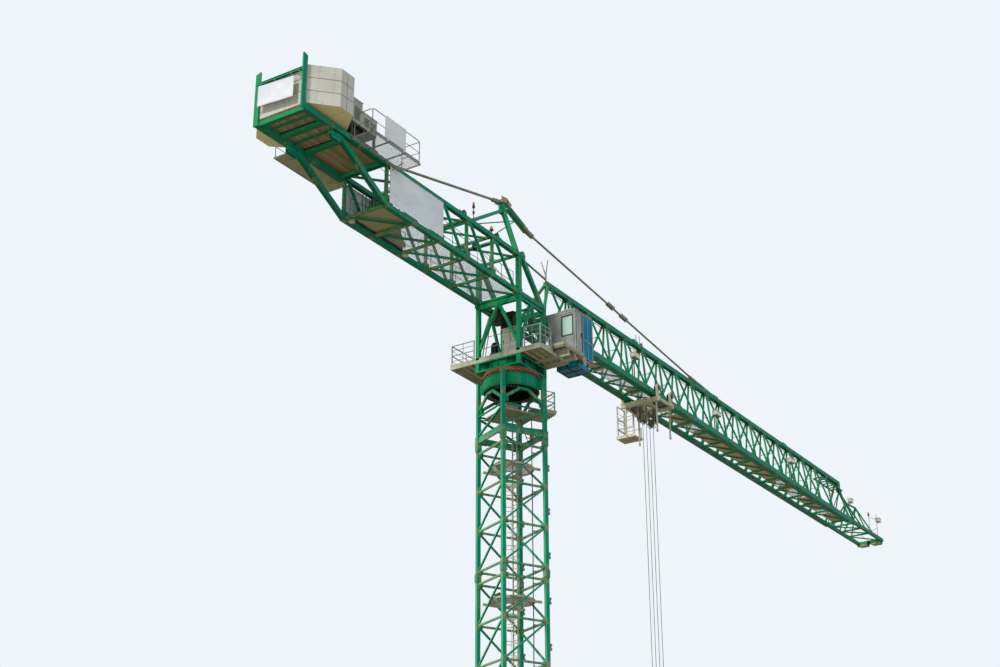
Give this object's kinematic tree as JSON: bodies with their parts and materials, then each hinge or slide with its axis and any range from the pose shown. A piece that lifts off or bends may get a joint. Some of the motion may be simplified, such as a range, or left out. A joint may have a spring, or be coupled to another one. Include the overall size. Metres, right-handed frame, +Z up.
{
  "type": "tower crane, half-size scale model (1:2)",
  "caption": "Lattice tower crane with slewing upper works, triangular jib with trolley and hook, cab and raised counterweight platform; half-size model.",
  "frame": {"origin": "on the slewing axis at ground level, on the underside of the base cross", "axes": "+X along the jib to its tip, +Z up, the cab on the -Y side"},
  "size_m": [32.6504, 3.0908, 20.5],
  "materials": {
    "green_paint": "weathered green paint with rust at the joints",
    "galvanised": "dull galvanised steel",
    "cream_paint": "dirty cream paint",
    "grey_paint": "light grey paint",
    "tie_bar": "khaki weathered bar",
    "glass": "blue tinted glass",
    "dark_steel": "greasy dark steel",
    "orange_primer": "orange primer, greased teeth",
    "deck_boards": "dark brown boards",
    "white_paint": "off-white paint",
    "concrete": "pale cast concrete"
  },
  "bodies": {
    "mast": {"base_cross": "green_paint", "mast_side_1": "green_paint", "mast_side_2": "green_paint", "mast_side_3": "green_paint", "mast_side_4": "green_paint", "head_side_1": "green_paint", "head_side_2": "green_paint", "head_side_3": "green_paint", "head_side_4": "green_paint", "collector_drum": "green_paint", "mast_ladder": "galvanised", "head_platform": "deck_boards", "cable_pot": "galvanised", "slew_ring": "orange_primer"},
    "upper_works": {"turntable": "green_paint", "slewing_platform": "cream_paint", "tower_side_near": "green_paint", "tower_side_far": "green_paint", "tower_frame_rear": "green_paint", "tower_frame_front": "green_paint", "electric_cabinet": "grey_paint", "cab_shell": "grey_paint", "cab_glass": "glass", "cab_rear_window": "glass", "cab_tray": "cream_paint", "counter_side_near": "green_paint", "counter_side_far": "green_paint", "counter_floor": "green_paint", "counter_roof": "green_paint", "platform_frame": "green_paint", "platform_deck": "deck_boards", "platform_strut_near": "green_paint", "platform_strut_far": "green_paint", "ballast_stop_frame": "green_paint", "ballast_rear": "concrete", "ballast_front": "concrete", "hoist_winch": "dark_steel", "hoist_cabinet": "grey_paint", "catwalk_near": "galvanised", "catwalk_far": "galvanised", "apex_frame": "green_paint", "rear_tie": "tie_bar", "front_pendant": "tie_bar", "jib_side_near": "green_paint", "jib_side_far": "green_paint", "jib_top_chord": "green_paint", "jib_tip": "green_paint", "jib_floor": "green_paint", "jib_walkway": "deck_boards"},
    "trolley": {"trolley_frame": "cream_paint", "basket": "white_paint", "hoist_ropes": "dark_steel"},
    "hook_block": {"hook_block": "cream_paint", "hook": "dark_steel"}
  },
  "joints": [
    {"name": "slewing", "type": "hinge", "parent": "mast", "child": "upper_works", "pos_m": [0, 0, 15.81], "axis": [0, 0, 1], "continuous": true},
    {"name": "trolley_travel", "type": "slide", "parent": "upper_works", "child": "trolley", "axis": [1, 0, 0], "range_m": [-4.835, 15.465]},
    {"name": "hoisting", "type": "slide", "parent": "trolley", "child": "hook_block", "axis": [0, 0, 1], "range_m": [0, 15.2], "deforming": ["hoist_ropes"]}
  ]
}
